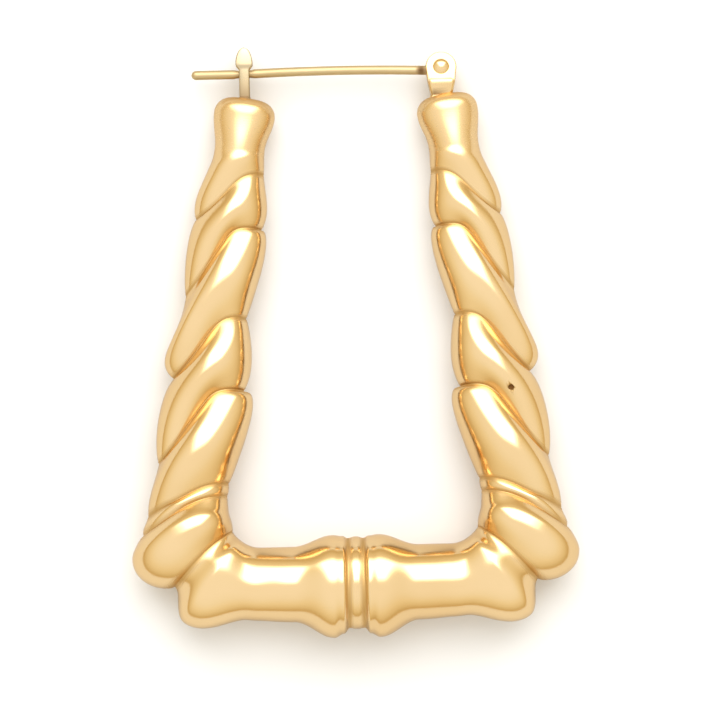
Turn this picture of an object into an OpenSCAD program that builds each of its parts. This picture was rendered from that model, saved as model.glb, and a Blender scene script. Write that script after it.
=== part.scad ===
// Bamboo hoop earring with a hinged snap post, lying at rest. Millimetres.
// It is drawn with the hoop's plane level: +X to the hinge, +Y to the closure, +Z up.
// The bar is fatter than the legs, so the whole is then tipped to touch the table with both.

/* [Hoop outline] */
// Half the distance between the middles of the two cap tops
cap_half_span = 8.7; // [8.4:0.1:9.0]
// Height of the cap tops above the middle of the hoop
cap_top_y = 21.7; // [21:0.1:22]
// Depth of the bar's axis below the middle of the hoop
bar_drop = 21.1; // [20.6:0.1:21.6]
// Lean of each leg away from the upright, in degrees
leg_lean = 9.0; // [8:0.2:10]
// Bend radius of the tube's axis at the two lower corners
corner_r = 6.1; // [5.8:0.1:6.6]
// Fatness of the tube, 1 for the size as made
fatness = 1.0; // [0.94:0.01:1.02]

/* [Post and catch] */
// Diameter of the post wire
post_d = 0.8; // [0.7:0.05:0.9]
// Height of the post's axis above the cap tops
post_rise = 2.15; // [2.05:0.05:2.4]
// Stretch of post beyond the middle of the catch
post_overrun = 4.65; // [3:0.05:5]
// Width of the catch strip
catch_w = 0.9; // [0.8:0.05:1.1]
// Width of the catch's pear-shaped head
head_w = 1.5; // [1.2:0.05:1.6]
// Height of the catch above the cap top
catch_rise = 4.45; // [4.2:0.05:4.8]
// Thickness of the catch strip
strip_t = 0.3; // [0.25:0.05:0.4]

/* [Hinge] */
// Radius of the hinge ears
ear_r = 1.35; // [1.2:0.05:1.5]
// Thickness of each hinge ear
ear_t = 0.35; // [0.3:0.05:0.4]
// Radius of the hinge rivet's shank
rivet_r = 0.35; // [0.3:0.05:0.4]
// Radius of the rivet's heads
rivet_head_r = 0.72; // [0.6:0.01:0.8]

/* [Mesh] */
// Sides of the bamboo tube
sides = 24; // [16:2:28]
// Fineness of round fittings
$fn = 48; // [32:8:64]

/* [Hidden] */
gold = [0.93, 0.70, 0.36];
pale_gold = [0.95, 0.78, 0.46];

// Path of the tube's axis, left half: leg, corner, bar. Places are lengths from the cap top.
corner_turn = 90 + leg_lean;
leg_drop = cap_top_y + bar_drop;
corner_x = cap_half_span + leg_drop * tan(leg_lean);
corner_tangent = corner_r * tan(corner_turn / 2);
leg_len = leg_drop / cos(leg_lean) - corner_tangent;
corner_len = corner_r * corner_turn * PI / 180;
bar_half = corner_x - corner_tangent;
half_len = leg_len + corner_len + bar_half;

// Seams between the lobes, one row each, for a half tube of nominal_len.
// Columns: place on the hoop's inner side, place on its outer side, bow of the seam
// across the front, tube radius at the inner side, in front and at the outer side.
nominal_len = 55;
IN_AT = 0;
OUT_AT = 1;
BOW = 2;
R_IN = 3;
R_FRONT = 4;
R_OUT = 5;
SEAMS = [
    [ 1.5,   1.5,  1.0, 2.70, 2.15, 2.67],  // cap rim
    [ 4.3,   4.8,  1.0, 2.20, 2.30, 2.18],  // cap waist
    [ 6.5,  11.2,  2.0, 2.40, 1.88, 2.88],  // first slanted seam
    [11.3,  17.9,  2.6, 2.80, 1.80, 2.92],  // second
    [19.2,  25.3,  2.4, 2.55, 1.90, 2.80],  // third
    [25.5,  32.8,  2.3, 3.20, 2.08, 3.25],  // fourth
    [33.7,  37.0,  1.5, 3.00, 2.50, 3.65],  // fifth, above the corner's bead
    [34.8,  38.0,  1.5, 3.02, 2.60, 4.20],  // below the bead
    [40.1,  41.2,  1.0, 3.35, 2.75, 3.55],  // corner seam
    [42.5,  42.8,  1.0, 3.40, 3.50, 5.35],  // rim at the bar's foot
    [45.9,  45.9,  1.0, 3.35, 3.15, 3.05],  // bar waist
    [49.5,  49.5,  1.0, 3.35, 3.45, 3.25],  // bar neck, where the flare begins
    [53.0,  53.0,  1.0, 4.30, 4.20, 4.70],  // flare beside the middle ring
    [53.85, 53.85, 1.0, 4.20, 4.10, 4.35],  // edge of the flare
    [54.34, 54.34, 1.0, 4.00, 3.80, 3.85],  // groove beside the middle ring
    [55.0,  55.0,  1.0, 4.15, 3.92, 3.95]   // middle ring
];

// Seams where two lobes flow together instead of meeting in a groove
SMOOTH_SEAMS = [0, 1, 9, 10, 11, 12, 13, 15];
gentle_start = 0.3;

// Lobes between the seams, one row each, from the cap rim down.
// Columns: rings, swell and its place at the inner side, in front and at the outer side.
RINGS = 0;
SWELL_IN = 1;
PEAK_IN = 2;
SWELL_FRONT = 3;
PEAK_FRONT = 4;
SWELL_OUT = 5;
PEAK_OUT = 6;
LOBES = [
    [ 4, 0.00, 0.50, 0.00, 0.50, 0.00, 0.50],  // cap
    [ 6, 0.00, 0.50, 0.25, 0.45, 0.45, 0.70],  // cap's tail
    [ 9, 0.45, 0.60, 0.92, 0.56, 0.50, 0.40],  // short lobe
    [10, 0.72, 0.28, 1.20, 0.50, 1.20, 0.78],  // long lobe
    [10, 0.65, 0.48, 1.34, 0.54, 0.87, 0.38],  // short lobe
    [11, 1.05, 0.22, 1.38, 0.50, 0.10, 0.50],  // long lobe
    [ 3, 0.10, 0.50, 0.25, 0.50, 0.10, 0.50],  // bead
    [ 9, 0.35, 0.50, 1.15, 0.46, 1.95, 0.52],  // corner lobe
    [ 5, 0.00, 0.50, 0.00, 0.50, 0.00, 0.50],  // bar's foot
    [ 6, 0.00, 0.50, 0.00, 0.50, 0.00, 0.50],  // bar, foot to waist
    [ 4, 0.00, 0.50, 0.00, 0.50, 0.00, 0.50],  // bar, waist to neck
    [ 6, 0.00, 0.50, 0.00, 0.50, 0.00, 0.50],  // bar, neck to flare
    [ 2, 0.00, 0.50, 0.00, 0.50, 0.00, 0.50],  // flare
    [ 3, 0.00, 0.50, 0.00, 0.50, 0.00, 0.50],  // flare's edge
    [ 2, 0.02, 0.50, 0.04, 0.50, 0.02, 0.50]   // middle ring
];
cap_dome_rings = 5;
cap_dome_fullness = 0.55;
side_fullness = 0.68;
front_fullness = 1.0;

// Catch: the post lies in a slot, a little outside the middle of its cap
post_y = cap_top_y + post_rise;
catch_shift = 0.15;
catch_x = -(cap_half_span + catch_shift);
slot_clearance = 0.06;
slot_r = post_d / 2 + slot_clearance;
catch_top_y = cap_top_y + catch_rise;
head_from_y = post_y + 0.35;
head_wide_y = post_y + 0.85;
head_steps = 10;
solder_depth = 0.5;
waist_len = 1.85;
waist_depth = 0.1;

// Hinge: the post's flattened eye turns on the rivet between the two ears
hinge_shift = 0.25;
hinge_x = cap_half_span - hinge_shift;
pivot_above_post = 0.2;
pivot_y = post_y + pivot_above_post;
eye_flattening = 0.04;
eye_t = post_d - eye_flattening;
eye_r = 1.0;
eye_shoulder = 0.7;
rivet_play = 0.05;
eye_bore_r = rivet_r + rivet_play;
ear_gap = 0.1;
ear_in_z = eye_t / 2 + ear_gap;
neck_x = hinge_x - ear_r - ear_gap;
neck_lap = 0.05;
stem_gap = 0.12;
stem_top_y = pivot_y - eye_r - stem_gap;
stem_top_w = 2.5;
stem_foot_w = 1.7;
stem_lap = 0.18;
stem_half_t = ear_in_z + ear_t + stem_lap;
rivet_head_h = 0.3;

// Rest: the line that touches the bar's flares and the legs' upper lobes from below is made
// level. It passes this far below the axis at the cap's rim, which hangs just clear of it.
CAP_RIM = 0;
FLARE = 12;
flare_r = SEAMS[FLARE][R_FRONT] * fatness;
line_drop_at_rim = 2.42 * fatness;
rest_span = cap_top_y - SEAMS[CAP_RIM][IN_AT] + bar_drop;
rest_tilt = asin((flare_r - line_drop_at_rim) / rest_span);
rest_lift = flare_r - bar_drop * sin(rest_tilt);

function lerp(a, b, t) = a + (b - a) * t;
function ease(t) = (1 - cos(180 * t)) / 2;

// Point and outward direction of the tube's axis at a place along the left half
function corner_angle(place) = (place - leg_len) / corner_r * 180 / PI - leg_lean;
function outward(place) =
    place < leg_len ? [-cos(leg_lean), sin(leg_lean)] :
    place < leg_len + corner_len ? [-cos(corner_angle(place)), -sin(corner_angle(place))] :
    [0, -1];
function axis_point(place) =
    place < leg_len ? [-cap_half_span - place * sin(leg_lean), cap_top_y - place * cos(leg_lean)] :
    place < leg_len + corner_len ? [-bar_half, corner_r - bar_drop] + corner_r * outward(place) :
    [place - half_len, -bar_drop];

// A value that goes from the inner side over the front, or the back, to the outer side
function around(c, inner, front, outer) =
    c * c * ((1 + c) * inner + (1 - c) * outer) / 2 + (1 - c * c) * front;

// A swell that is zero at both seams and fullest at its peak
function hump(t, peak, fullness) =
    t <= 0 || t >= 1 ? 0 : pow(sin(180 * pow(t, ln(0.5) / ln(peak))), fullness);

// The swell rises at once from a groove, and gently from a smooth seam
function is_smooth(seam) = len(search(seam, SMOOTH_SEAMS)) > 0;
function start(seam, t) =
    is_smooth(seam) && t < gentle_start
        ? pow(t / gentle_start, 2) * (3 - 2 * t / gentle_start)
        : 1;
function seam_place(row, c) = lerp(row[IN_AT], row[OUT_AT], pow((1 - c) / 2, row[BOW]));
function seam_radius(row, c) = around(c, row[R_IN], row[R_FRONT], row[R_OUT]);
function lobe_swell(i, c, t) =
    let (row = LOBES[i], peak = around(c, row[PEAK_IN], row[PEAK_FRONT], row[PEAK_OUT]))
    around(c, row[SWELL_IN], row[SWELL_FRONT], row[SWELL_OUT]) *
    hump(t, peak, around(c, side_fullness, front_fullness, side_fullness)) *
    start(i, t) * start(i + 1, 1 - t);

// A point of the skin: place along the axis, angle from the inner side, radius
function skin_point(place, angle, radius) =
    let (p = axis_point(place), n = outward(place), r = radius * fatness)
    [p[0] - r * cos(angle) * n[0], p[1] - r * cos(angle) * n[1], r * sin(angle)];

function lobe_ring(i, t) = [
    for (k = [0 : sides - 1])
        let (angle = 360 * k / sides, c = cos(angle))
        skin_point(
            lerp(seam_place(SEAMS[i], c), seam_place(SEAMS[i + 1], c), t) * half_len / nominal_len,
            angle,
            lerp(seam_radius(SEAMS[i], c), seam_radius(SEAMS[i + 1], c), ease(t))
                + lobe_swell(i, c, t)
        )
];
function dome_ring(t) = [
    for (k = [0 : sides - 1])
        let (angle = 360 * k / sides, c = cos(angle))
        skin_point(
            SEAMS[CAP_RIM][IN_AT] * (1 - cos(90 * t)),
            angle,
            seam_radius(SEAMS[CAP_RIM], c) * pow(sin(90 * t), cap_dome_fullness)
        )
];
function flipped(ring) = [for (p = ring) [-p[0], p[1], p[2]]];

left_rings = concat(
    [for (j = [1 : cap_dome_rings]) dome_ring(j / cap_dome_rings)],
    [
        for (i = [0 : len(LOBES) - 1])
            for (j = [1 : LOBES[i][RINGS]])
                lobe_ring(i, j / LOBES[i][RINGS])
    ]
);
half_count = len(left_rings);
all_rings = concat(left_rings, [for (i = [half_count - 2 : -1 : 0]) flipped(left_rings[i])]);
ring_count = len(all_rings);
skin_points = concat(
    [for (ring = all_rings) for (p = ring) p],
    [[-cap_half_span, cap_top_y, 0], [cap_half_span, cap_top_y, 0]]
);
first_pole = ring_count * sides;
last_ring = (ring_count - 1) * sides;

// Triangles between ring i and the next one, and the fans that close both cap tops
skin_faces = concat(
    [
        for (i = [0 : ring_count - 2])
            for (k = [0 : sides - 1])
                let (a = i * sides + k, b = i * sides + (k + 1) % sides)
                each [[a, b + sides, b], [a, a + sides, b + sides]]
    ],
    [for (k = [0 : sides - 1]) [first_pole, k, (k + 1) % sides]],
    [for (k = [0 : sides - 1]) [first_pole + 1, last_ring + (k + 1) % sides, last_ring + k]]
);

module at_rest() {
    translate([0, 0, rest_lift])
        rotate([-rest_tilt, 0, 0])
            children();
}

module bamboo_tube() {
    polyhedron(points = skin_points, faces = skin_faces, convexity = 8);
}

// Half the catch's width: a strip as far as the post, and a pear-shaped head above it
function catch_half_w(y) =
    y > head_wide_y
        ? head_w / 2 * sqrt(max(0, 1 - pow((y - head_wide_y) / (catch_top_y - head_wide_y), 2)))
        : lerp(catch_w, head_w, ease(max(0, (y - head_from_y) / (head_wide_y - head_from_y)))) / 2;

module catch_outline() {
    foot_y = cap_top_y - solder_depth;
    neck = [for (k = [0 : head_steps]) lerp(head_from_y, head_wide_y, k / head_steps)];
    head = [
        for (k = [1 : head_steps - 1])
            head_wide_y + (catch_top_y - head_wide_y) * sin(90 * k / head_steps)
    ];
    heights = concat([foot_y], neck, head);
    count = len(heights);
    polygon(concat(
        [for (y = heights) [catch_x + catch_half_w(y), y]],
        [[catch_x, catch_top_y]],
        [for (k = [count - 1 : -1 : 0]) [catch_x - catch_half_w(heights[k]), heights[k]]]
    ));
}

// The fork that the post snaps into: two cheeks, open at the top, with a round cradle between
module catch_fork() {
    foot_y = cap_top_y - solder_depth;
    for (side = [0, 1])
        mirror([0, 0, side])
            translate([0, 0, slot_r])
                linear_extrude(height = strip_t)
                    catch_outline();
    difference() {
        translate([catch_x - catch_w / 2, foot_y, -slot_r])
            cube([catch_w, post_y - foot_y, 2 * slot_r]);
        translate([catch_x - catch_w, post_y, 0])
            rotate([0, 90, 0])
                cylinder(r = slot_r, h = 2 * catch_w);
    }
}

// One ear of the hinge with its rivet hole
module hinge_ear() {
    translate([hinge_x, pivot_y, ear_in_z])
        difference() {
            linear_extrude(height = ear_t)
                union() {
                    circle(r = ear_r);
                    polygon([
                        [-ear_r, 0], [ear_r, 0],
                        [stem_top_w / 2, stem_top_y - pivot_y], [-stem_top_w / 2, stem_top_y - pivot_y]
                    ]);
                }
            translate([0, 0, -ear_t])
                cylinder(r = rivet_r, h = 3 * ear_t);
        }
}

module hinge_bracket() {
    foot_y = cap_top_y - solder_depth;
    hinge_ear();
    mirror([0, 0, 1])
        hinge_ear();
    translate([hinge_x, 0, -stem_half_t])
        linear_extrude(height = 2 * stem_half_t)
            polygon([
                [-stem_top_w / 2, stem_top_y], [stem_top_w / 2, stem_top_y],
                [stem_foot_w / 2, foot_y], [-stem_foot_w / 2, foot_y]
            ]);
}

module bamboo_hoop() {
    color(gold)
        at_rest()
            union() {
                bamboo_tube();
                catch_fork();
                hinge_bracket();
            }
}

module rivet_head() {
    translate([hinge_x, pivot_y, ear_in_z + ear_t])
        intersection() {
            cylinder(r = rivet_head_r, h = rivet_head_h);
            ball_r = (rivet_head_r * rivet_head_r + rivet_head_h * rivet_head_h) / (2 * rivet_head_h);
            translate([0, 0, rivet_head_h - ball_r])
                sphere(r = ball_r);
        }
}

module hinge_rivet() {
    color(gold)
        at_rest() {
            translate([hinge_x, pivot_y, -ear_in_z - ear_t])
                cylinder(r = rivet_r, h = 2 * (ear_in_z + ear_t));
            rivet_head();
            mirror([0, 0, 1])
                rivet_head();
        }
}

// The wire, with a round tip and a shallow waist where the catch grips it
module post_wire() {
    tip_x = catch_x - post_overrun;
    difference() {
        union() {
            translate([tip_x + post_d / 2, post_y, 0])
                rotate([0, 90, 0])
                    cylinder(d = post_d, h = neck_x - tip_x - post_d / 2);
            translate([tip_x + post_d / 2, post_y, 0])
                sphere(d = post_d);
        }
        waist_arc_r = (waist_len * waist_len / 4 + waist_depth * waist_depth) / (2 * waist_depth);
        translate([catch_x, post_y, 0])
            rotate([0, 90, 0])
                rotate_extrude()
                    intersection() {
                        translate([post_d / 2 - waist_depth + waist_arc_r, 0])
                            circle(r = waist_arc_r);
                        translate([0, -waist_len])
                            square([post_d, 2 * waist_len]);
                    }
    }
}

// The flattened end of the wire, with the hole for the rivet
module post_eye() {
    translate([0, 0, -eye_t / 2])
        difference() {
            union() {
                translate([hinge_x, pivot_y, 0])
                    cylinder(r = eye_r, h = eye_t);
                linear_extrude(height = eye_t)
                    polygon([
                        [neck_x - neck_lap, post_y - post_d / 2], [hinge_x, pivot_y - eye_shoulder],
                        [hinge_x, pivot_y + eye_shoulder], [neck_x - neck_lap, post_y + post_d / 2]
                    ]);
            }
            translate([hinge_x, pivot_y, -eye_t])
                cylinder(r = eye_bore_r, h = 3 * eye_t);
        }
}

module ear_post() {
    color(pale_gold)
        at_rest() {
            post_wire();
            post_eye();
        }
}

bamboo_hoop();
hinge_rivet();
ear_post();
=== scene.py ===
"""Bamboo hoop earring of polished yellow gold, lying flat on a white table and seen from above.

The tube, the catch, the hinge and the post are laid out in the hoop's own level frame, in
millimetres, and are then tipped onto the table as the CAD part lies.
"""

import math

import bmesh
import bpy
from mathutils import Matrix, Vector


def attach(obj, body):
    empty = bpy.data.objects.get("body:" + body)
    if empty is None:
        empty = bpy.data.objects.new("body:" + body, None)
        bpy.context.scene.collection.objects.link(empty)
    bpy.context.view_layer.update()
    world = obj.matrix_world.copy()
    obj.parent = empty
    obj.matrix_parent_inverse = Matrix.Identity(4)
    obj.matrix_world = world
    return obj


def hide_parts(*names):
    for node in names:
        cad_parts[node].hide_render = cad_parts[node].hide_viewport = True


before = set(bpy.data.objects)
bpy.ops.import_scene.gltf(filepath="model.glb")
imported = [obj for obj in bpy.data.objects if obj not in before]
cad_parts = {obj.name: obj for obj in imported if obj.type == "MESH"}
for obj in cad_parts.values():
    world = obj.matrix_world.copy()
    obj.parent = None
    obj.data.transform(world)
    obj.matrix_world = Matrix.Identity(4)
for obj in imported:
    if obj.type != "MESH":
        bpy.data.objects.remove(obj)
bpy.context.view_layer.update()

MM = 0.001
X_WAY = (1, 0, 0)
Y_WAY = (0, 1, 0)
Z_WAY = (0, 0, 1)

# Outline of the tube's axis, which runs from a cap down its leg, round the corner and along the bar
CAP_HALF_SPAN = 8.7
CAP_TOP_Y = 21.7
BAR_DROP = 21.1
LEG_LEAN = math.radians(9.0)
CORNER_R = 6.1
CORNER_POINTS = 96
# Length of the half axis, in the measure that the seams' places are given in
NOMINAL_LEN = 55.0

# Rest: the line that touches the bar's flares and the legs' upper lobes from below is made level.
# The caps' rims stay just clear of it.
FLARE_R = 4.2
LINE_DROP_AT_RIM = 2.42
CAP_RIM_AT = 1.5
REST_TILT = math.asin((FLARE_R - LINE_DROP_AT_RIM) / (CAP_TOP_Y - CAP_RIM_AT + BAR_DROP))
REST_LIFT = FLARE_R - BAR_DROP * math.sin(REST_TILT)
LEVEL_TO_REST = (
    Matrix.Translation((0, 0, REST_LIFT * MM))
    @ Matrix.Rotation(-REST_TILT, 4, "X")
    @ Matrix.Scale(MM, 4)
)

# Post and catch
POST_R = 0.4
POST_Y = CAP_TOP_Y + 2.15
POST_OVERRUN = 4.65
POST_BOW = 0.16
WAIST_LEN = 1.85
WAIST_DEPTH = 0.1
CATCH_X = -(CAP_HALF_SPAN + 0.15)
CATCH_W = 0.9
CATCH_TOP_Y = CAP_TOP_Y + 4.45
HEAD_W = 1.5
HEAD_FROM_Y = POST_Y + 0.35
HEAD_WIDE_Y = POST_Y + 0.85
# Slopes at which the cheeks thin, and the share of the heads' thinning that is on the inner side
HEAD_SLOPE = math.radians(1)
STRIP_SLOPE = math.radians(2)
HEAD_INNER_SHARE = 0.3
SLOT_R = POST_R + 0.06
STRIP_T = 0.3
CHEEK_EDGE_R = 0.1
CHEEK_CROWN = 0.3
# How far the cradle goes into the cheeks, and stays back from their sides
CRADLE_LAP = 0.02

# Hinge
HINGE_X = CAP_HALF_SPAN - 0.25
PIVOT_Y = POST_Y + 0.2
EAR_R = 1.35
EAR_T = 0.35
EAR_SLOPE = math.radians(7)
EAR_EDGE_R = 0.1
EAR_INNER_EDGE = 0.03
# How far the ears go down into the stem, and stay back from its sides
EAR_LAP = 0.2
EAR_FOOT_INSET = 0.05
EYE_R = 1.0
EYE_T = 0.76
EYE_BORE_R = 0.4
EYE_SHOULDER = 0.7
EYE_EDGE_R = 0.12
EAR_IN_Z = EYE_T / 2 + 0.1
NECK_X = HINGE_X - EAR_R - 0.1
STEM_TOP_Y = PIVOT_Y - EYE_R - 0.12
STEM_TOP_W = 2.5
STEM_FOOT_W = 1.7
STEM_HALF_T = EAR_IN_Z + EAR_T + 0.18
STEM_EDGE_R = 0.35
# Share of the stem, from its top, over which its edge is rounded off, and the size of that rounding
STEM_TOP_ROUND = 0.12
STEM_TOP_INSET = 0.03
# The stem's foot is bowled like a cup: how much thinner it gets, and how far round the bowl it goes
STEM_BOWL = 0.5
STEM_BOWL_REACH = 0.94
RIVET_R = 0.35
RIVET_HEAD_R = 0.72
RIVET_HEAD_H = 0.3
RIVET_HEAD_LAP = 0.1

# Solder: how deep the feet go into the caps, and the fillets round the feet. Each row of a fillet:
# (height above the cap's top, half width, half thickness).
SOLDER_DEPTH = 0.5
CATCH_FILLET = [
    (-0.40, 0.72, 0.90),
    (-0.22, 0.64, 0.85),
    (-0.06, 0.56, 0.80),
    (0.06, 0.50, 0.75),
    (0.16, 0.46, 0.70),
]
HINGE_FILLET = [
    (-0.40, 1.12, 0.95),
    (-0.22, 1.04, 0.90),
    (-0.06, 0.96, 0.84),
    (0.08, 0.90, 0.78),
    (0.20, 0.86, 0.70),
]
FILLET_EDGE_R = 0.3

# Spots of painted shade where the catch and the hinge meet the caps, and where the post goes in
# between the ears: (x, y, radius)
CATCH_FOOT_SHADE = (CATCH_X, CAP_TOP_Y - 0.05, 0.6)
HINGE_FOOT_SHADE = (HINGE_X - 0.3, CAP_TOP_Y - 0.05, 0.7)
POST_NECK_SHADE = (NECK_X - 0.3, POST_Y, 0.5)

# Seams between the lobes of a half tube, from the cap rim to the middle of the bar. Each row:
# (place on the inner side, place on the outer side, bow across the front),
# (tube radius at the inner side, in front, at the outer side), depth of the crease from 0 to 1.
SEAMS = [
    ((1.5, 1.5, 1.0), (2.70, 2.15, 2.67), 0.0),
    ((4.3, 4.8, 1.0), (2.20, 2.30, 2.18), 0.0),
    ((6.5, 11.2, 2.0), (2.40, 1.88, 2.88), 1.0),
    ((11.3, 17.9, 2.6), (2.80, 1.80, 2.92), 1.0),
    ((19.2, 25.3, 2.4), (2.55, 1.90, 2.80), 1.0),
    ((25.5, 32.8, 2.3), (3.20, 2.08, 3.25), 1.0),
    ((33.7, 37.0, 1.5), (3.00, 2.50, 3.65), 1.0),
    ((34.8, 38.0, 1.5), (3.02, 2.60, 4.20), 0.8),
    ((40.1, 41.2, 1.0), (3.35, 2.75, 3.55), 1.0),
    ((42.5, 42.8, 1.0), (3.40, 3.50, 5.35), 0.0),
    ((45.9, 45.9, 1.0), (3.35, 3.15, 3.05), 0.0),
    ((49.5, 49.5, 1.0), (3.35, 3.45, 3.25), 0.0),
    ((53.0, 53.0, 1.0), (4.30, 4.20, 4.70), 0.0),
    ((53.85, 53.85, 1.0), (4.20, 4.10, 4.35), 0.0),
    ((54.34, 54.34, 1.0), (4.00, 3.80, 3.85), 1.0),
    ((55.0, 55.0, 1.0), (4.15, 3.92, 3.95), 0.0),
]

# Lobes between the seams. Each row: (swell at the inner side, in front, at the outer side),
# (place of that swell's peak at the inner side, in front, at the outer side).
LOBES = [
    ((0.00, 0.00, 0.00), (0.50, 0.50, 0.50)),
    ((0.00, 0.25, 0.45), (0.50, 0.45, 0.70)),
    ((0.45, 0.92, 0.50), (0.60, 0.56, 0.40)),
    ((0.72, 1.20, 1.20), (0.28, 0.50, 0.78)),
    ((0.65, 1.34, 0.87), (0.48, 0.54, 0.38)),
    ((1.05, 1.38, 0.10), (0.22, 0.50, 0.50)),
    ((0.10, 0.25, 0.10), (0.50, 0.50, 0.50)),
    ((0.35, 1.15, 1.95), (0.50, 0.46, 0.52)),
    ((0.00, 0.00, 0.00), (0.50, 0.50, 0.50)),
    ((0.00, 0.00, 0.00), (0.50, 0.50, 0.50)),
    ((0.00, 0.00, 0.00), (0.50, 0.50, 0.50)),
    ((0.00, 0.00, 0.00), (0.50, 0.50, 0.50)),
    ((0.00, 0.00, 0.00), (0.50, 0.50, 0.50)),
    ((0.00, 0.00, 0.00), (0.50, 0.50, 0.50)),
    ((0.02, 0.04, 0.02), (0.50, 0.50, 0.50)),
]
SWELL_FULLNESS = (0.68, 1.0, 0.68)
GENTLE_START = 0.3
DOME_FULLNESS = 0.55

# Fineness of the tube's skin, whose rings crowd towards the seams
RINGS_A_LOBE = 30
TUBE_SIDES = 96
CROWDING = 0.7

# Marks on the tube, as lengths along it: painted shade in the creases and round the caps' tops,
# and the satin finish of the caps
CREASE_WIDTH = 0.45
DOME_SHADE_REACH = 0.7
DOME_SHADE_DEPTH = 0.8
SATIN_TO = 4.5
SATIN_FADE = 3.0

# Pinprick in a lobe of the hinge's leg. The painted shade at its rim and deeper in it are values of
# the crease.
VENT_AT = (13.86, -4.16)
VENT_R = 0.25
VENT_DEPTH = 0.6
VENT_SIDES = 20
VENT_RIM_SHADE = 0.9
VENT_DEEP_SHADE = 1.5

# Distances within which points are merged, on the tube and on the fittings
TUBE_MERGE = 0.0005
FITTING_MERGE = 0.001

# Gold. Each finish: pale tone, deep tone, tone of the painted shade in its creases and spots,
# roughness, waviness.
# Tones of painted shade: one for the tube's creases, and a deeper one for the fittings' spots
SHADE_BROWN = (0.64, 0.41, 0.16)
DEEP_SHADE_BROWN = (0.22, 0.12, 0.05)
FINISHES = {
    "polished_gold": ((0.92, 0.67, 0.36), (0.89, 0.63, 0.32), SHADE_BROWN, 0.14, 0.4),
    "hinge_gold": ((0.89, 0.64, 0.33), (0.86, 0.60, 0.29), DEEP_SHADE_BROWN, 0.13, 0.35),
    "cast_gold": ((0.66, 0.54, 0.34), (0.60, 0.48, 0.29), DEEP_SHADE_BROWN, 0.22, 0.5),
    # The wire's gold is a darker copy of the tube's: painted shade that dims the wire's reflections
    "gold_wire": ((0.66, 0.51, 0.29), (0.62, 0.47, 0.25), DEEP_SHADE_BROWN, 0.48, 0.2),
}
EDGE_TINT = (0.92, 0.85, 0.76)
# Painted shade deep in the pinprick
HOLE_SHADE_TONE = (0.34, 0.16, 0.05)
CREASE_ROUGHNESS = 0.3
SATIN_ROUGHNESS = 0.13
HAIRLINE_ROUGHNESS = 0.03

# Waviness and hairlines: noise scales per metre, the noise's span that makes a hairline, its depth
# as a share of the waves', and the height in metres that the polish's bump stands for
WAVE_SCALE = 330.0
HAIRLINE_SCALE = (900.0, 6000.0, 6000.0)
HAIRLINE_SPAN = (0.62, 0.72)
HAIRLINE_DEPTH = 0.03
POLISH_HEIGHT = 0.00002

# Drift of the alloy's tone: noise scale per metre, and the noise's span from pale to deep
TONE_SCALE = 120.0
TONE_SPAN = (0.35, 0.65)

# Photograph: seen from straight above through a long lens
PHOTO_WIDTH_MM = 62.44
PHOTO_CENTRE_MM = (0.41, -1.15)
PHOTO_ROLL = math.radians(1.3)
LENS = 250.0
SENSOR = 36.0
SIGHT_HEIGHT_MM = 3.5

# Light: a wide softbox in a warm room. It reaches from near overhead to well beyond the closure, as
# angles from overhead in degrees. Its half width grows by the spread, the farther ahead it is.
SOFTBOX_FROM = 10.0
SOFTBOX_TO = 60.0
SOFTBOX_LOW_BLUR = 7.0
SOFTBOX_HIGH_BLUR = 7.0
SOFTBOX_SIDE_BLUR = 0.14
SOFTBOX_HALF_W = 0.17
SOFTBOX_SPREAD = 0.60
SOFTBOX_ASIDE = 0.06
SOFTBOX_LEVEL = 3.6

# Tones of the room by height, from the horizon to overhead
ROOM_TONES = [
    (0.00, (0.76, 0.64, 0.41)),
    (0.07, (0.64, 0.50, 0.27)),
    (0.24, (0.82, 0.71, 0.48)),
    (0.50, (0.95, 0.89, 0.72)),
    (0.72, (1.00, 0.99, 0.94)),
    (0.90, (1.04, 1.04, 1.04)),
]

# White card under the hoop, and how much darker it is painted where the metal mirrors it: painted
# shade in its reflection
CARD_HALF_W_M = 1.5
CARD_TONE = 0.90
CARD_REFLECTION_SHADE = 0.24
CARD_ROUGHNESS = 0.9
CARD_SHEEN = 0.2


class Number:
    """A number, or another value, in a node tree. Arithmetic on it adds Math nodes to the tree."""

    def __init__(self, plan, socket):
        self.plan = plan
        self.socket = socket

    def __add__(self, other):
        return self.plan.math("ADD", self, other)

    def __radd__(self, other):
        return self.plan.math("ADD", other, self)

    def __sub__(self, other):
        return self.plan.math("SUBTRACT", self, other)

    def __rsub__(self, other):
        return self.plan.math("SUBTRACT", other, self)

    def __mul__(self, other):
        return self.plan.math("MULTIPLY", self, other)

    def __truediv__(self, other):
        return self.plan.math("DIVIDE", self, other)

    def __pow__(self, other):
        return self.plan.math("POWER", self, other)

    def __neg__(self):
        return self.plan.math("MULTIPLY", self, -1.0)


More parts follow.
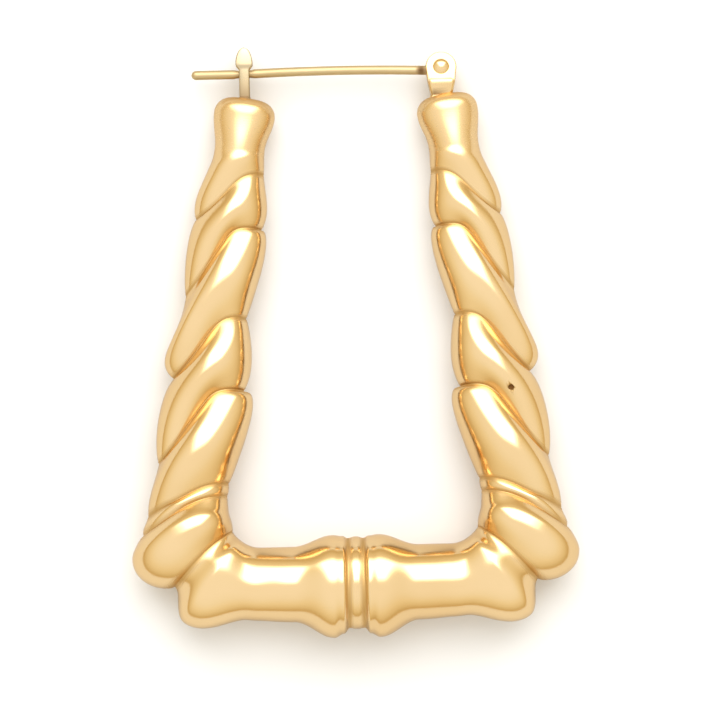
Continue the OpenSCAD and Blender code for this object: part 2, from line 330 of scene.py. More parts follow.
class Plan:
    """Adds nodes to a tree and joins them, so that a formula reads on one line."""

    def __init__(self, tree):
        self.tree = tree

    def feed(self, socket, value):
        """Links a value from the tree to the socket, or sets a plain one on it."""
        if isinstance(value, Number):
            value = value.socket
        if isinstance(value, bpy.types.NodeSocket):
            self.tree.links.new(value, socket)
        else:
            socket.default_value = value

    def node(self, kind, inputs=None, **settings):
        """A new node with its settings and inputs."""
        made = self.tree.nodes.new(kind)
        for name, value in settings.items():
            setattr(made, name, value)
        for key, value in (inputs or {}).items():
            self.feed(made.inputs[key], value)
        return made

    def add(self, kind, inputs=None, out=0, **settings):
        """An output of a new node: the first, unless another is named."""
        return Number(self, self.node(kind, inputs, **settings).outputs[out])

    def math(self, operation, *values):
        return self.add("ShaderNodeMath", dict(enumerate(values)), operation=operation)

    def vector(self, operation, *values, out="Vector"):
        inputs = dict(enumerate(values))
        return self.add("ShaderNodeVectorMath", inputs, out=out, operation=operation)

    def xyz(self, x, y, z):
        return self.add("ShaderNodeCombineXYZ", {"X": x, "Y": y, "Z": z})

    def parts(self, vector):
        split = self.node("ShaderNodeSeparateXYZ", {0: vector})
        return [Number(self, socket) for socket in split.outputs]

    def lerp(self, first, last, share):
        return first + (last - first) * share

    def mix(self, share, first, last):
        """A colour between two, each of which is a colour socket or a tone."""
        made = self.node("ShaderNodeMix", {"Factor": share}, data_type="RGBA")
        # A Mix node's colour sockets come after its number and vector ones
        for place, colour in ((6, first), (7, last)):
            self.feed(made.inputs[place], (*colour, 1) if isinstance(colour, tuple) else colour)
        return Number(self, made.outputs[2])

    def pick(self, test, if_true, if_false):
        """One of two numbers in a geometry tree, by the test."""
        inputs = {"Switch": test, "False": if_false, "True": if_true}
        return self.add("GeometryNodeSwitch", inputs, input_type="FLOAT")

    def join(self, *geometries):
        made = self.node("GeometryNodeJoinGeometry")
        for geometry in geometries:
            self.tree.links.new(geometry.socket, made.inputs[0])
        return Number(self, made.outputs[0])


def placed_object(name, data):
    """An object with that data, put into the scene."""
    made = bpy.data.objects.new(name, data)
    bpy.context.scene.collection.objects.link(made)
    return made


def new_group(name, kind, inputs, outputs):
    """A node group with named sockets: the group, its plan, its inputs and its output node."""
    group = bpy.data.node_groups.new(name, kind)
    for label, socket_kind, value in inputs:
        socket = group.interface.new_socket(label, in_out="INPUT", socket_type=socket_kind)
        if value is not None:
            socket.default_value = value
    for label, socket_kind in outputs:
        group.interface.new_socket(label, in_out="OUTPUT", socket_type=socket_kind)
    plan = Plan(group)
    given = group.nodes.new("NodeGroupInput")
    result = group.nodes.new("NodeGroupOutput")
    return group, plan, {s.name: Number(plan, s) for s in given.outputs if s.name}, result


def lobe_table():
    """One vertex for each seam, which carries the seam's row and that of the lobe after it."""
    mesh = bpy.data.meshes.new("lobe_table")
    mesh.from_pydata([(0, row, 0) for row in range(len(SEAMS))], [], [])
    lobes = LOBES + [LOBES[-1]]
    columns = {
        "seam_place": [seam[0] for seam in SEAMS],
        "seam_radius": [seam[1] for seam in SEAMS],
        "swell": [lobe[0] for lobe in lobes],
        "peak": [lobe[1] for lobe in lobes],
    }
    for name, rows in columns.items():
        attribute = mesh.attributes.new(name, "FLOAT_VECTOR", "POINT")
        attribute.data.foreach_set("vector", [value for row in rows for value in row])
    depth = mesh.attributes.new("crease_depth", "FLOAT", "POINT")
    depth.data.foreach_set("value", [seam[2] for seam in SEAMS])
    return placed_object("lobe_table", mesh)


def tube_tree():
    """Geometry nodes of the stamped tube. The modifier's own mesh is the half axis, one corner."""
    group, plan, given, result = new_group(
        "stamped_bamboo_tube",
        "GeometryNodeTree",
        [
            ("Half axis", "NodeSocketGeometry", None),
            ("Lobe table", "NodeSocketObject", None),
            ("Lobes", "NodeSocketInt", len(LOBES)),
            ("Rings a lobe", "NodeSocketInt", RINGS_A_LOBE),
            ("Sides", "NodeSocketInt", TUBE_SIDES),
            ("Crowding at the seams", "NodeSocketFloat", CROWDING),
            ("Corner radius", "NodeSocketFloat", CORNER_R),
            ("Nominal length", "NodeSocketFloat", NOMINAL_LEN),
            ("Swell fullness", "NodeSocketVector", SWELL_FULLNESS),
            ("Gentle start", "NodeSocketFloat", GENTLE_START),
            ("Dome fullness", "NodeSocketFloat", DOME_FULLNESS),
            ("Crease width", "NodeSocketFloat", CREASE_WIDTH),
            ("Dome shade reach", "NodeSocketFloat", DOME_SHADE_REACH),
            ("Satin to", "NodeSocketFloat", SATIN_TO),
            ("Satin fade", "NodeSocketFloat", SATIN_FADE),
            ("Rest tilt", "NodeSocketFloat", REST_TILT),
            ("Rest lift", "NodeSocketFloat", REST_LIFT * MM),
            ("Gold", "NodeSocketMaterial", None),
        ],
        [("Tube", "NodeSocketGeometry")],
    )

    # Axis of the half tube, with its corner rounded
    polyline = plan.add("GeometryNodeMeshToCurve", {"Mesh": given["Half axis"]})
    fillet = {"Curve": polyline, "Count": CORNER_POINTS, "Radius": given["Corner radius"]}
    axis = plan.add("GeometryNodeFilletCurve", fillet, mode="POLY")
    stretch = plan.add("GeometryNodeCurveLength", {0: axis}) / given["Nominal length"]

    # Grid of the skin: x runs down the tube, y round it
    ring_total = (given["Lobes"] + 1.0) * given["Rings a lobe"]
    grid = plan.add(
        "GeometryNodeMeshGrid",
        {"Vertices X": ring_total + 1.0, "Vertices Y": given["Sides"] + 1.0},
    )
    at_x, at_y, _ = plan.parts(plan.add("GeometryNodeInputPosition"))
    ring = plan.math("ROUND", (at_x + 0.5) * ring_total)
    span = plan.math("FLOOR", ring / given["Rings a lobe"])
    even = ring / given["Rings a lobe"] - span
    slack = given["Crowding at the seams"] / math.tau
    t = even - plan.math("SINE", even * math.tau) * slack
    angle = plan.math("ROUND", (at_y + 0.5) * given["Sides"]) / given["Sides"] * math.tau
    c = plan.math("COSINE", angle)

    # Shares of the inner side, the front and the outer side at this angle
    c2 = c * c
    shares = plan.xyz(c2 * (1.0 + c) * 0.5, 1.0 - c2, c2 * (1.0 - c) * 0.5)
    table = plan.add(
        "GeometryNodeObjectInfo",
        {0: given["Lobe table"]},
        out="Geometry",
        transform_space="ORIGINAL",
    )

    def column(name, kind, row):
        """A column of the lobe table, read at that row."""
        value = plan.add("GeometryNodeInputNamedAttribute", {"Name": name}, data_type=kind)
        return plan.add(
            "GeometryNodeSampleIndex", {0: table, 1: value, 2: row}, data_type=kind, clamp=True
        )

    def around(name, row):
        """The same, blended from inner side, front and outer side to suit this angle."""
        sides = column(name, "FLOAT_VECTOR", row)
        return plan.vector("DOT_PRODUCT", sides, shares, out="Value")

    def start(share, depth):
        """A swell rises at once from a groove, and gently where two lobes flow together."""
        ramp = {"Value": share, "From Max": given["Gentle start"]}
        gentle = plan.add("ShaderNodeMapRange", ramp, interpolation_type="SMOOTHSTEP")
        return plan.lerp(gentle, 1.0, depth)

    def seam_place(row):
        """How far down the tube that row's seam lies at this angle."""
        inner, outer, bow = plan.parts(column("seam_place", "FLOAT_VECTOR", row))
        across = plan.math("MAXIMUM", (1.0 - c) * 0.5, 0.0) ** bow
        return plan.lerp(inner, outer, across)

    above = plan.math("MAXIMUM", span - 1.0, 0.0)
    below = above + 1.0
    place_above = seam_place(above)
    place_below = seam_place(below)
    radius_above = around("seam_radius", above)
    radius_below = around("seam_radius", below)
    peak_power = plan.math("LOGARITHM", 0.5, around("peak", above))
    depth_above = column("crease_depth", "FLOAT", above)
    depth_below = column("crease_depth", "FLOAT", below)
    wave = plan.math("MAXIMUM", plan.math("SINE", t ** peak_power * math.pi), 0.0)
    fullness = plan.vector("DOT_PRODUCT", given["Swell fullness"], shares, out="Value")
    starts = start(t, depth_above) * start(1.0 - t, depth_below)
    swell = around("swell", above) * wave ** fullness * starts
    eased = (1.0 - plan.math("COSINE", t * math.pi)) * 0.5
    lobe_radius = plan.lerp(radius_above, radius_below, eased) + swell
    lobe_place = plan.lerp(place_above, place_below, t)

    # The cap's domed top comes before the first seam
    on_dome = plan.math("LESS_THAN", span, 0.5)
    rise = plan.math("SINE", even * (math.pi / 2))
    dome_radius = radius_above * rise ** given["Dome fullness"]
    dome_place = place_above * (1.0 - plan.math("COSINE", even * (math.pi / 2)))
    radius = plan.pick(on_dome, dome_radius, lobe_radius)
    place = plan.pick(on_dome, dome_place, lobe_place)

    def fading(value, full_to, none_from, most=1.0):
        """Falls smoothly from its most to 0."""
        ramp = {
            "Value": value,
            "From Min": full_to,
            "From Max": none_from,
            "To Min": most,
            "To Max": 0.0,
        }
        return plan.add("ShaderNodeMapRange", ramp, interpolation_type="SMOOTHSTEP")

    # Depth of the crease, for the painted shade that darkens the gold in it
    near_above = fading(place - place_above, 0.0, given["Crease width"]) * depth_above
    near_below = fading(place_below - place, 0.0, given["Crease width"]) * depth_below
    # Painted shade round the top of the cap's dome, where a fitting's foot stands
    dome_shade = fading(dome_place, 0.0, given["Dome shade reach"], DOME_SHADE_DEPTH)
    crease = plan.pick(on_dome, dome_shade, plan.math("MAXIMUM", near_above, near_below))

    # Heat and pickling leave the caps a little satin, down to the first lobe
    satin = fading(place, given["Satin to"], given["Satin to"] + given["Satin fade"])

    # Skin
    sample = plan.node(
        "GeometryNodeSampleCurve", {"Curves": axis, "Length": place * stretch}, mode="LENGTH"
    )
    along_x, along_y, _ = plan.parts(sample.outputs["Tangent"])
    outward = plan.vector("NORMALIZE", plan.xyz(along_y, -along_x, 0.0))
    aside = plan.vector("SCALE", outward)
    plan.feed(aside.socket.node.inputs["Scale"], -(radius * c))
    up = plan.xyz(0.0, 0.0, radius * plan.math("SINE", angle))
    point = plan.vector("ADD", plan.vector("ADD", sample.outputs["Position"], aside), up)
    marked = grid
    for name, value in (("crease", crease), ("satin", satin)):
        mark = {"Geometry": marked, "Name": name, "Value": value}
        marked = plan.add(
            "GeometryNodeStoreNamedAttribute", mark, data_type="FLOAT", domain="POINT"
        )
    half = plan.add("GeometryNodeSetPosition", {"Geometry": marked, "Position": point})
    mirrored = plan.add("GeometryNodeTransform", {"Geometry": half, "Scale": (-1.0, 1.0, 1.0)})
    other_half = plan.add("GeometryNodeFlipFaces", {0: mirrored})
    whole = plan.add(
        "GeometryNodeMergeByDistance",
        {"Geometry": plan.join(half, other_half), "Distance": TUBE_MERGE},
    )
    at_rest = plan.add(
        "GeometryNodeTransform",
        {
            "Geometry": whole,
            "Translation": plan.xyz(0.0, 0.0, given["Rest lift"]),
            "Rotation": plan.xyz(-given["Rest tilt"], 0.0, 0.0),
            "Scale": (MM, MM, MM),
        },
    )
    smooth = plan.add("GeometryNodeSetShadeSmooth", {0: at_rest})
    real = plan.add("GeometryNodeRealizeInstances", {0: smooth})
    gilded = plan.add("GeometryNodeSetMaterial", {"Geometry": real, "Material": given["Gold"]})
    plan.feed(result.inputs["Tube"], gilded)
    return group


def set_input(modifier, label, value):
    """Sets a geometry nodes input by its socket's identifier."""
    for item in modifier.node_group.interface.items_tree:
        if item.item_type == "SOCKET" and item.in_out == "INPUT" and item.name == label:
            modifier[item.identifier] = value


def baked(source, name):
    """The evaluated object as a plain mesh object of that name, with the source taken away."""
    bpy.context.view_layer.update()
    evaluated = source.evaluated_get(bpy.context.evaluated_depsgraph_get())
    mesh = bpy.data.meshes.new_from_object(evaluated)
    bpy.data.objects.remove(source)
    mesh.name = name
    return placed_object(name, mesh)


def face_outwards(mesh):
    """Turns all faces of a closed mesh outwards."""
    shape = bmesh.new()
    shape.from_mesh(mesh)
    bmesh.ops.recalc_face_normals(shape, faces=shape.faces)
    shape.to_mesh(mesh)
    shape.free()


def stamped_tube(gold):
    """The hoop's bamboo tube, from cap to cap."""
    corner_x = CAP_HALF_SPAN + (CAP_TOP_Y + BAR_DROP) * math.tan(LEG_LEAN)
    half_axis = bpy.data.meshes.new("half_axis")
    points = [(-CAP_HALF_SPAN, CAP_TOP_Y, 0), (-corner_x, -BAR_DROP, 0), (0, -BAR_DROP, 0)]
    half_axis.from_pydata(points, [(0, 1), (1, 2)], [])
    source = placed_object("tube_source", half_axis)
    table = lobe_table()
    modifier = source.modifiers.new("tube", "NODES")
    modifier.node_group = tube_tree()
    set_input(modifier, "Lobe table", table)
    set_input(modifier, "Gold", gold)
    tube = baked(source, "bamboo_tube")
    bpy.data.objects.remove(table)
    # The grid's own empty slot goes, so that the pinprick is of the same gold
    tube.data.materials.clear()
    tube.data.materials.append(gold)
    face_outwards(tube.data)
    return pricked(tube)


def pricked(tube):
    """The tube with the pinprick that lets air out while the seams are soldered."""
    x, y = VENT_AT[0] * MM, VENT_AT[1] * MM
    _, top, _, _ = tube.ray_cast((x, y, 1), (0, 0, -1))
    drill = bmesh.new()
    bmesh.ops.create_cone(
        drill,
        cap_ends=True,
        segments=VENT_SIDES,
        radius1=VENT_R * MM,
        radius2=VENT_R * MM,
        depth=2 * VENT_DEPTH * MM,
        matrix=Matrix.Translation(top),
    )
    mesh = bpy.data.meshes.new("drill")
    drill.to_mesh(mesh)
    drill.free()
    cutter = placed_object("drill", mesh)
    cut = tube.modifiers.new("vent", "BOOLEAN")
    cut.operation = "DIFFERENCE"
    cut.solver = "EXACT"
    cut.object = cutter
    holed = baked(tube, "bamboo_tube")
    bpy.data.objects.remove(cutter)
    crease = holed.data.attributes["crease"]
    # Slightly more than the hole, so that its rim gets the painted shade too
    hole_r = 1.02 * VENT_R
    for k, vertex in enumerate(holed.data.vertices):
        away = math.hypot(vertex.co.x - x, vertex.co.y - y) / MM
        sunk = (top.z - vertex.co.z) / MM
        if away < hole_r and sunk < 2 * VENT_DEPTH:
            crease.data[k].value = VENT_DEEP_SHADE if sunk > VENT_DEPTH / 2 else VENT_RIM_SHADE
    return holed


def rounded_section(half_w, half_t, edge_r, steps=5):
    """Points round a rectangle with rounded corners, as pairs (across, through)."""
    edge = min(edge_r, half_w, half_t)
    points = []
    for corner in range(4):
        sign_w = 1 if corner in (0, 3) else -1
        sign_t = 1 if corner in (0, 1) else -1
        for step in range(steps + 1):
            turn = (corner + step / steps) * math.pi / 2
            across = sign_w * (half_w - edge) + edge * math.cos(turn)
            through = sign_t * (half_t - edge) + edge * math.sin(turn)
            points.append((across, through))
    return points


def skin(shape, rings, closed=False):
    """Joins rings of points into a skin. Its two ends are closed, or joined to each other."""
    loops = [[shape.verts.new(point) for point in ring] for ring in rings]
    pairs = list(zip(loops, loops[1:]))
    if closed:
        pairs.append((loops[-1], loops[0]))
    for ring, after in pairs:
        for k in range(len(ring)):
            n = (k + 1) % len(ring)
            shape.faces.new((ring[k], ring[n], after[n], after[k]))
    if not closed:
        shape.faces.new(loops[0][::-1])
        shape.faces.new(loops[-1])


def loft(shape, stations, edge_r, steps=5, crown=0.0):
    """Skins rounded rectangles: each station is (centre, across, through, half_w, half_t).

    The crown is the share of the thickness that is lost towards both sides.
    """
    rings = []
    for centre, across, through, half_w, half_t in stations:
        ring = []
        for u, v in rounded_section(half_w, half_t, edge_r, steps):
            v *= 1 - crown * (u / half_w) ** 2
            ring.append(Vector(centre) + Vector(across) * u + Vector(through) * v)
        rings.append(ring)
    skin(shape, rings)


def lathe(shape, centre, profile, steps=64):
    """Turns a closed profile of (radius, height) about the upright line through the centre."""
    rings = []
    for step in range(steps):
        turn = step / steps * math.tau
        x, y = math.cos(turn), math.sin(turn)
        rings.append([Vector(centre) + Vector((x * r, y * r, h)) for r, h in profile])
    skin(shape, rings, closed=True)


def washer_profile(inner_r, outer_r, half_t, edge_r, steps=4):
    """Closed profile of a flat ring whose outer rim is rounded, as pairs (radius, height)."""
    profile = [(inner_r, -half_t), (inner_r, half_t)]
    for side in (1, -1):
        for step in range(steps + 1):
            turn = math.pi / 2 * (step / steps if side > 0 else 1 - step / steps)
            inset = edge_r * (1 - math.sin(turn))
            fall = edge_r * (1 - math.cos(turn))
            profile.append((outer_r - inset, side * (half_t - fall)))
    return profile


def finished(shape, name, material, sharp=math.radians(35), shade_spot=None):
    """A bmesh drawn in the level frame, made an object that lies at rest.

    The spot, given as (x, y, radius), is darkened with painted shade.
    """
    bmesh.ops.remove_doubles(shape, verts=shape.verts, dist=FITTING_MERGE)
    # Painted shade round the spot, strongest at its middle
    spot_shade = [0.0] * len(shape.verts)
    if shade_spot:
        spot_x, spot_y, spot_r = shade_spot
        for k, vertex in enumerate(shape.verts):
            away = math.hypot(vertex.co.x - spot_x, vertex.co.y - spot_y)
            spot_shade[k] = max(0.0, 1 - (away / spot_r) ** 2)
    bmesh.ops.transform(shape, matrix=LEVEL_TO_REST, verts=shape.verts)
    bmesh.ops.recalc_face_normals(shape, faces=shape.faces)
    mesh = bpy.data.meshes.new(name)
    shape.to_mesh(mesh)
    shape.free()
    mesh.polygons.foreach_set("use_smooth", [True] * len(mesh.polygons))
    mesh.set_sharp_from_angle(angle=sharp)
    crease = mesh.attributes.new("crease", "FLOAT", "POINT")
    crease.data.foreach_set("value", spot_shade)
    mesh.materials.append(material)
    return placed_object(name, mesh)


def solder_fillet(shape, x, rows):
    """Fillet of solder round a foot, on the cap's dome."""
    stations = []
    for height, half_w, half_t in rows:
        stations.append(((x, CAP_TOP_Y + height, 0), X_WAY, Z_WAY, half_w, half_t))
    loft(shape, stations, edge_r=FILLET_EDGE_R, steps=8)


def catch_half_w(y):
    """Half the catch's width: a narrow strip, and a pear-shaped head from above the post."""
    if y > HEAD_WIDE_Y:
        along = min(1.0, (y - HEAD_WIDE_Y) / (CATCH_TOP_Y - HEAD_WIDE_Y))
        blunt_tip = 0.001
        return HEAD_W / 2 * math.sqrt(max(1 - along ** 2, blunt_tip))
    share = min(1.0, max(0.0, (y - HEAD_FROM_Y) / (HEAD_WIDE_Y - HEAD_FROM_Y)))
    return (CATCH_W + (HEAD_W - CATCH_W) * share * share * (3 - 2 * share)) / 2


def catch_fork(gold):
    """Two cheeks that stand beside the post, each with a pear-shaped head that thins upwards."""
    shape = bmesh.new()
    heights = [CAP_TOP_Y - SOLDER_DEPTH, CAP_TOP_Y, POST_Y, HEAD_FROM_Y]
    widening = HEAD_WIDE_Y - HEAD_FROM_Y
    steps = 6
    heights += [HEAD_FROM_Y + widening * step / steps for step in range(1, steps + 1)]
    head_len = CATCH_TOP_Y - HEAD_WIDE_Y
    steps = 14
    turns = [step / steps * math.pi / 2 for step in range(1, steps + 1)]
    heights += [HEAD_WIDE_Y + head_len * math.sin(turn) for turn in turns]
    for side in (1, -1):
        stations = []
        for y in heights:
            thinned = max(0.0, y - HEAD_FROM_Y) * math.tan(HEAD_SLOPE)
            inner = SLOT_R + thinned * HEAD_INNER_SHARE
            outer = SLOT_R + STRIP_T - thinned - max(0.0, POST_Y - y) * math.tan(STRIP_SLOPE)
            centre = (CATCH_X, y, side * (inner + outer) / 2)
            stations.append((centre, X_WAY, Z_WAY, catch_half_w(y), (outer - inner) / 2))
        loft(shape, stations, edge_r=CHEEK_EDGE_R, crown=CHEEK_CROWN)
    solder_fillet(shape, CATCH_X, CATCH_FILLET)
    return finished(shape, "catch_fork", gold, shade_spot=CATCH_FOOT_SHADE)


def catch_cradle(gold):
    """The solid foot of the fork, with the half-round cradle that the post drops into."""
    shape = bmesh.new()
    foot_y = CAP_TOP_Y - SOLDER_DEPTH
    half_t = SLOT_R + CRADLE_LAP
    outline = [(foot_y, half_t), (POST_Y, half_t)]
    steps = 16
    for step in range(steps + 1):
        turn = math.pi * step / steps
        outline.append((POST_Y - SLOT_R * math.sin(turn), SLOT_R * math.cos(turn)))
    outline += [(POST_Y, -half_t), (foot_y, -half_t)]
    half_w = CATCH_W / 2 - CRADLE_LAP
    sides = (-half_w, half_w)
    skin(shape, [[Vector((CATCH_X + x, y, z)) for y, z in outline] for x in sides])
    return finished(shape, "catch_cradle", gold)


def hinge_ear(shape, side):
    """Ear with the rivet's hole, round above and straight-sided below, thinner towards its top."""
    foot = PIVOT_Y - STEM_TOP_Y + EAR_LAP
    taper = (EAR_R - STEM_TOP_W / 2 + EAR_FOOT_INSET) / foot
    rings = []
    steps = 96
    for step in range(steps):
        turn = step / steps * math.tau
        x, y = math.cos(turn), math.sin(turn)
        reach = EAR_R
        if y < 0:
            reach = min(EAR_R / (abs(x) - taper * y), foot / -y)
        halfway = reach * 0.6
        profile = [(RIVET_R, 0.0), (RIVET_R, EAR_T), (halfway, EAR_T)]
        for bend in (0, 30, 60, 90):
            inset = EAR_EDGE_R * (1 - math.sin(math.radians(bend)))
            fall = EAR_EDGE_R * (1 - math.cos(math.radians(bend)))
            profile.append((reach - inset, EAR_T - fall))
        profile += [(reach, EAR_INNER_EDGE), (reach - EAR_INNER_EDGE, 0.0)]
        ring = []
        for r, h in profile:
            slant = r * y * math.tan(EAR_SLOPE) * h / EAR_T
            z = side * (EAR_IN_Z + h - slant)
            ring.append(Vector((HINGE_X + x * r, PIVOT_Y + y * r, z)))
        rings.append(ring)
    skin(shape, rings, closed=True)


def hinge_bracket(gold):
    """Two ears on a stem that rounds off like the bowl of a cup towards its foot."""
    shape = bmesh.new()
    for side in (1, -1):
        hinge_ear(shape, side)
    stem_len = STEM_TOP_Y - (CAP_TOP_Y - SOLDER_DEPTH)
    stations = []
    for share in (0, 0.04, STEM_TOP_ROUND, 0.25, 0.4, 0.52, 0.64, 0.76, 0.88, 1):
        inset = STEM_TOP_INSET * max(0.0, 1 - share / STEM_TOP_ROUND) ** 2
        half_w = STEM_TOP_W / 2 + (STEM_FOOT_W - STEM_TOP_W) / 2 * share - inset
        bowl = STEM_BOWL * (1 - math.sqrt(1 - (STEM_BOWL_REACH * share) ** 2))
        centre = (HINGE_X, STEM_TOP_Y - stem_len * share, 0)
        stations.append((centre, X_WAY, Z_WAY, half_w, STEM_HALF_T - inset - bowl))
    loft(shape, stations, edge_r=STEM_EDGE_R, steps=7)
    solder_fillet(shape, HINGE_X, HINGE_FILLET)
    return finished(shape, "hinge_bracket", gold, shade_spot=HINGE_FOOT_SHADE)


def rivet(gold):
    """Shank and two domed heads."""
    shape = bmesh.new()
    base = EAR_IN_Z + EAR_T
    ball_r = (RIVET_HEAD_R ** 2 + RIVET_HEAD_H ** 2) / (2 * RIVET_HEAD_H)
    dome = []
    steps = 12
    widest = math.asin(RIVET_HEAD_R / ball_r)
    for step in range(steps + 1):
        turn = widest * step / steps
        fall = ball_r * (1 - math.cos(turn))
        dome.append((ball_r * math.sin(turn), base + RIVET_HEAD_H - fall))
    sunk = base - RIVET_HEAD_LAP
    upper = dome + [(RIVET_HEAD_R, sunk), (RIVET_R, sunk)]
    lower = [(r, -h) for r, h in reversed(upper)]
    lathe(shape, (HINGE_X, PIVOT_Y, 0), upper + lower)
    return finished(shape, "rivet", gold, sharp=math.radians(50))


def post(gold):
    """Wire with a round tip and a slight bow, flattened to an eye that turns on the rivet."""
    shape = bmesh.new()
    tip_x = CATCH_X - POST_OVERRUN
    stations = []

    def bow(x):
        """Offset of the wire at x, which is at its most midway between the catch and the neck."""
        share = (x - CATCH_X) / (NECK_X - CATCH_X)
        return POST_BOW * 4 * share * (1 - share) if 0 < share < 1 else 0.0

    # Round tip
    steps = 8
    for step in range(1, steps + 1):
        turn = step / steps * math.pi / 2
        r = POST_R * math.sin(turn)
        stations.append((tip_x + POST_R * (1 - math.cos(turn)), r, r))
    # Wire, with its waist in the catch
    steps = 120
    for step in range(1, steps + 1):
        x = tip_x + POST_R + (NECK_X - tip_x - POST_R) * step / steps
        pinch = 1 - min(1.0, abs(x - CATCH_X) / (WAIST_LEN / 2)) ** 2
        r = POST_R - WAIST_DEPTH * pinch
        stations.append((x, r, r))
    # Shoulders that widen to the eye
    for share in (0.3, 0.6, 1.0):
        x = NECK_X + (HINGE_X - EYE_BORE_R - NECK_X) * share
        half_w = POST_R + (EYE_SHOULDER - POST_R) * share
        stations.append((x, half_w, EYE_T / 2))
    placed = []
    for x, half_w, half_t in stations:
        lift = (PIVOT_Y - POST_Y) * max(0.0, (x - NECK_X) / (HINGE_X - NECK_X))
        placed.append(((x, POST_Y + lift + bow(x), 0), Y_WAY, Z_WAY, half_w, half_t))
    loft(shape, placed, edge_r=POST_R, steps=8)
    eye = washer_profile(EYE_BORE_R, EYE_R, EYE_T / 2, EYE_EDGE_R)
    lathe(shape, (HINGE_X, PIVOT_Y, 0), eye)
    return finished(shape, "post", gold, shade_spot=POST_NECK_SHADE)


def polish_group():
    """Fine hairlines and the faint waviness of a polished stamping."""
    group, plan, given, result = new_group(
        "hand_polish",
        "ShaderNodeTree",
        [
            ("Place", "NodeSocketVector", None),
            ("Waviness", "NodeSocketFloat", 0.5),
            ("Hairlines", "NodeSocketFloat", 0.5),
        ],
        [("Height", "NodeSocketFloat"), ("Mask", "NodeSocketFloat")],
    )
    waves = {"Vector": given["Place"], "Scale": WAVE_SCALE, "Detail": 1.0}
    wave = plan.add("ShaderNodeTexNoise", waves)
    stretched = plan.vector("MULTIPLY", given["Place"], HAIRLINE_SCALE)
    lines = plan.add("ShaderNodeTexNoise", {"Vector": stretched, "Scale": 1.0, "Detail": 2.0})
    least, most = HAIRLINE_SPAN
    cut = plan.add("ShaderNodeMapRange", {"Value": lines, "From Min": least, "From Max": most})
    height = wave * given["Waviness"] + cut * given["Hairlines"] * -HAIRLINE_DEPTH
    plan.feed(result.inputs["Height"], height)
    plan.feed(result.inputs["Mask"], cut)
    return group


def tone_group():
    """Slow drift of the alloy's tone over the surface, from 0 to 1."""
    group, plan, given, result = new_group(
        "alloy_tone",
        "ShaderNodeTree",
        [("Place", "NodeSocketVector", None), ("Scale", "NodeSocketFloat", TONE_SCALE)],
        [("Tone", "NodeSocketFloat")],
    )
    clouds = {"Vector": given["Place"], "Scale": given["Scale"], "Detail": 2.0}
    noise = plan.add("ShaderNodeTexNoise", clouds)
    palest, deepest = TONE_SPAN
    ramp = {"Value": noise, "From Min": palest, "From Max": deepest}
    plan.feed(result.inputs["Tone"], plan.add("ShaderNodeMapRange", ramp))
    return group


def gold_material(name, groups):
    """Polished gold: pale and deep tones, painted shade in the creases and spots, hairlines and a
    faint waviness.
    """
    pale, deep, shade_tone, roughness, waviness = FINISHES[name]
    material = bpy.data.materials.new(name)
    material.use_nodes = True
    tree = material.node_tree
    tree.nodes.clear()
    plan = Plan(tree)
    place = plan.add("ShaderNodeTexCoord", out="Object")
    polish = plan.node("ShaderNodeGroup", node_tree=groups["polish"])
    plan.feed(polish.inputs["Place"], place)
    polish.inputs["Waviness"].default_value = waviness
    tone = plan.node("ShaderNodeGroup", node_tree=groups["tone"])
    plan.feed(tone.inputs["Place"], place)
    crease = plan.add("ShaderNodeAttribute", out="Fac", attribute_name="crease")
    satin = plan.add("ShaderNodeAttribute", out="Fac", attribute_name="satin")
    clean = plan.mix(tone.outputs["Tone"], pale, deep)
    shaded = plan.mix(crease, clean, shade_tone)
    # A crease value above 1 goes on from the crease's tone to the pinprick's deeper painted shade
    hole_shaded = plan.mix(crease - 1.0, shaded, HOLE_SHADE_TONE)
    bump = plan.node("ShaderNodeBump", {"Strength": 1.0, "Distance": POLISH_HEIGHT})
    plan.feed(bump.inputs["Height"], polish.outputs["Height"])
    surface = plan.node("ShaderNodeBsdfPrincipled")
    surface.inputs["Metallic"].default_value = 1.0
    surface.inputs["Specular Tint"].default_value = (*EDGE_TINT, 1)
    plan.feed(surface.inputs["Base Color"], hole_shaded)
    marks = Number(plan, polish.outputs["Mask"]) * HAIRLINE_ROUGHNESS
    dull = crease * CREASE_ROUGHNESS + satin * SATIN_ROUGHNESS
    plan.feed(surface.inputs["Roughness"], roughness + marks + dull)
    plan.feed(surface.inputs["Normal"], bump.outputs["Normal"])
    plan.node("ShaderNodeOutputMaterial", {"Surface": surface.outputs["BSDF"]})
    return material


def table_top():
    """The white surface that the earring lies on."""
    far = CARD_HALF_W_M
    mesh = bpy.data.meshes.new("table_top")
    corners = [(-far, -far, 0), (far, -far, 0), (far, far, 0), (-far, far, 0)]
    mesh.from_pydata(corners, [], [(0, 1, 2, 3)])
    material = bpy.data.materials.new("white_card")
    material.use_nodes = True
    shader = material.node_tree.nodes["Principled BSDF"]
    shader.inputs["Roughness"].default_value = CARD_ROUGHNESS
    # Painted shade in the card's reflection: the card is darker in every ray that the metal mirrors
    plan = Plan(material.node_tree)
    mirrored = plan.add("ShaderNodeLightPath", out="Is Glossy Ray")
    plan.feed(shader.inputs["Base Color"], CARD_TONE - mirrored * CARD_REFLECTION_SHADE)
    shader.inputs["Specular IOR Level"].default_value = CARD_SHEEN
    mesh.materials.append(material)
    placed_object("table_top", mesh)


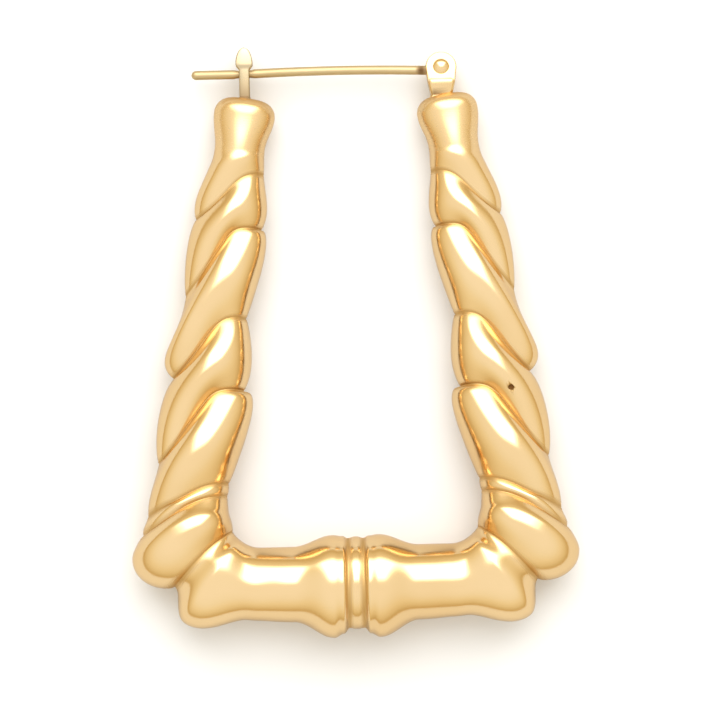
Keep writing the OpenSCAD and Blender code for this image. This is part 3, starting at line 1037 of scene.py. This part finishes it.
def studio():
    """A warm room with a dim band at the horizon, and a wide soft light beyond the closure."""
    world = bpy.data.worlds.new("light_tent")
    world.use_nodes = True
    plan = Plan(world.node_tree)
    across, ahead, height = plan.parts(plan.add("ShaderNodeTexCoord", out="Generated"))

    def edge(value, middle, softness):
        """Rises from 0 to 1 where the value passes the middle."""
        ramp = {"Value": value, "From Min": middle - softness, "From Max": middle + softness}
        return plan.add("ShaderNodeMapRange", ramp, interpolation_type="SMOOTHSTEP")

    lean = plan.math("ARCTAN2", ahead, height)
    low_edge = edge(lean, math.radians(SOFTBOX_FROM), math.radians(SOFTBOX_LOW_BLUR))
    high_edge = 1.0 - edge(lean, math.radians(SOFTBOX_TO), math.radians(SOFTBOX_HIGH_BLUR))
    reach = plan.math("ABSOLUTE", across - SOFTBOX_ASIDE) - ahead * SOFTBOX_SPREAD
    side_edge = 1.0 - edge(reach, SOFTBOX_HALF_W, SOFTBOX_SIDE_BLUR)
    softbox = low_edge * high_edge * side_edge

    room = plan.node("ShaderNodeValToRGB", {0: height})
    elements = room.color_ramp.elements
    while len(elements) < len(ROOM_TONES):
        elements.new(0.5)
    for element, (position, tone) in zip(elements, ROOM_TONES):
        element.position = position
        element.color = (*tone, 1)
    lit = plan.mix(softbox, room.outputs[0], (SOFTBOX_LEVEL,) * 3)
    plan.feed(world.node_tree.nodes["Background"].inputs["Color"], lit)
    bpy.context.scene.world = world


def camera():
    """Looks straight down, turned as the photograph is."""
    data = bpy.data.cameras.new("camera")
    data.lens = LENS
    data.sensor_width = SENSOR
    data.clip_start = 0.01
    viewer = placed_object("camera", data)
    height = PHOTO_WIDTH_MM * LENS / SENSOR + SIGHT_HEIGHT_MM
    viewer.location = (PHOTO_CENTRE_MM[0] * MM, PHOTO_CENTRE_MM[1] * MM, height * MM)
    viewer.rotation_euler = (0, 0, -PHOTO_ROLL)
    bpy.context.scene.camera = viewer


def build():
    """The camera, the light, the table and all the pieces, each on its body."""
    groups = {"polish": polish_group(), "tone": tone_group()}
    gold = {name: gold_material(name, groups) for name in FINISHES}
    camera()
    studio()
    table_top()
    tube = stamped_tube(gold["polished_gold"])
    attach(tube, "hoop")
    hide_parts("bamboo_hoop")
    fork = catch_fork(gold["cast_gold"])
    cradle = catch_cradle(gold["cast_gold"])
    bracket = hinge_bracket(gold["hinge_gold"])
    for fitting in (fork, cradle, bracket):
        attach(fitting, "hoop")
    pin = rivet(gold["polished_gold"])
    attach(pin, "hoop")
    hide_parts("hinge_rivet")
    ear_wire = post(gold["gold_wire"])
    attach(ear_wire, "post")
    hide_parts("ear_post")


bpy.context.scene.view_settings.view_transform = "Standard"
build()
